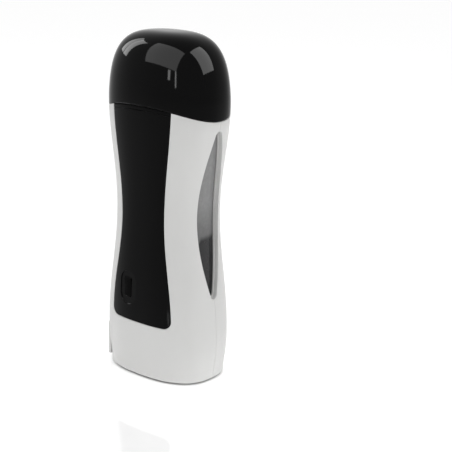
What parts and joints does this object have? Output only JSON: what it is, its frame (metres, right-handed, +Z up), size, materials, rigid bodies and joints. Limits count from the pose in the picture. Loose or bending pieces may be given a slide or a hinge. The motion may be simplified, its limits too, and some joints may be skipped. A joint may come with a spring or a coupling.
{
  "type": "roll on wax heater",
  "caption": "Free-standing hand-held warmer with a waisted two-half housing, side sight windows, glossy front panel, push button and lift-off domed cap over a cartridge well.",
  "frame": {"origin": "middle of the flat base, on the surface that the heater stands on", "axes": "+Z up along the height, -Y to the front with the panel, +X to the viewer's right when facing the front"},
  "size_m": [0.0764, 0.052, 0.2],
  "materials": {
    "shell": "satin light warm grey",
    "gloss_black": "high gloss black",
    "pane": "clear smoked plastic",
    "matt_black": "matt",
    "button": "matt",
    "contact": "nickel plated",
    "chamber": "drawn",
    "heater": "film",
    "steel": "bright",
    "bakelite": "moulded",
    "fuse": "ceramic",
    "board": "solder mask",
    "relay_blue": "moulded",
    "sleeve": "shrink sleeve",
    "wire_brown": "insulation",
    "wire_red": "insulation",
    "wire_white": "insulation"
  },
  "bodies": {
    "housing": {"front_shell": "shell", "back_shell": "shell", "front_panel": "gloss_black", "window_right": "pane", "window_left": "pane", "neck_ring": "matt_black", "base_plate": "matt_black", "inlet_pad": "shell", "inlet_socket": "matt_black", "inlet_pins": "contact", "heating_chamber": "chamber", "chamber_cradle": "matt_black", "front_heater": "heater", "back_heater": "heater", "clip_bands": "steel", "thermostat": "bakelite", "thermal_fuse": "fuse", "fuse_strap": "steel", "circuit_board": "board", "power_switch": "matt_black", "relay": "relay_blue", "capacitor": "sleeve", "board_screws": "steel", "base_screws": "steel", "mains_wires": "wire_brown", "heater_wires": "wire_red", "sensor_wires": "wire_white"},
    "cap": {"cap": "gloss_black"},
    "power_button": {"power_button": "button"}
  },
  "joints": [
    {"name": "cap_lift", "type": "slide", "parent": "housing", "child": "cap", "axis": [0, 0, 1], "range_m": [0, 0.06]},
    {"name": "button_press", "type": "slide", "parent": "housing", "child": "power_button", "axis": [0, 1, 0], "range_m": [0, 0.001], "stiffness_N_per_m": 300}
  ]
}
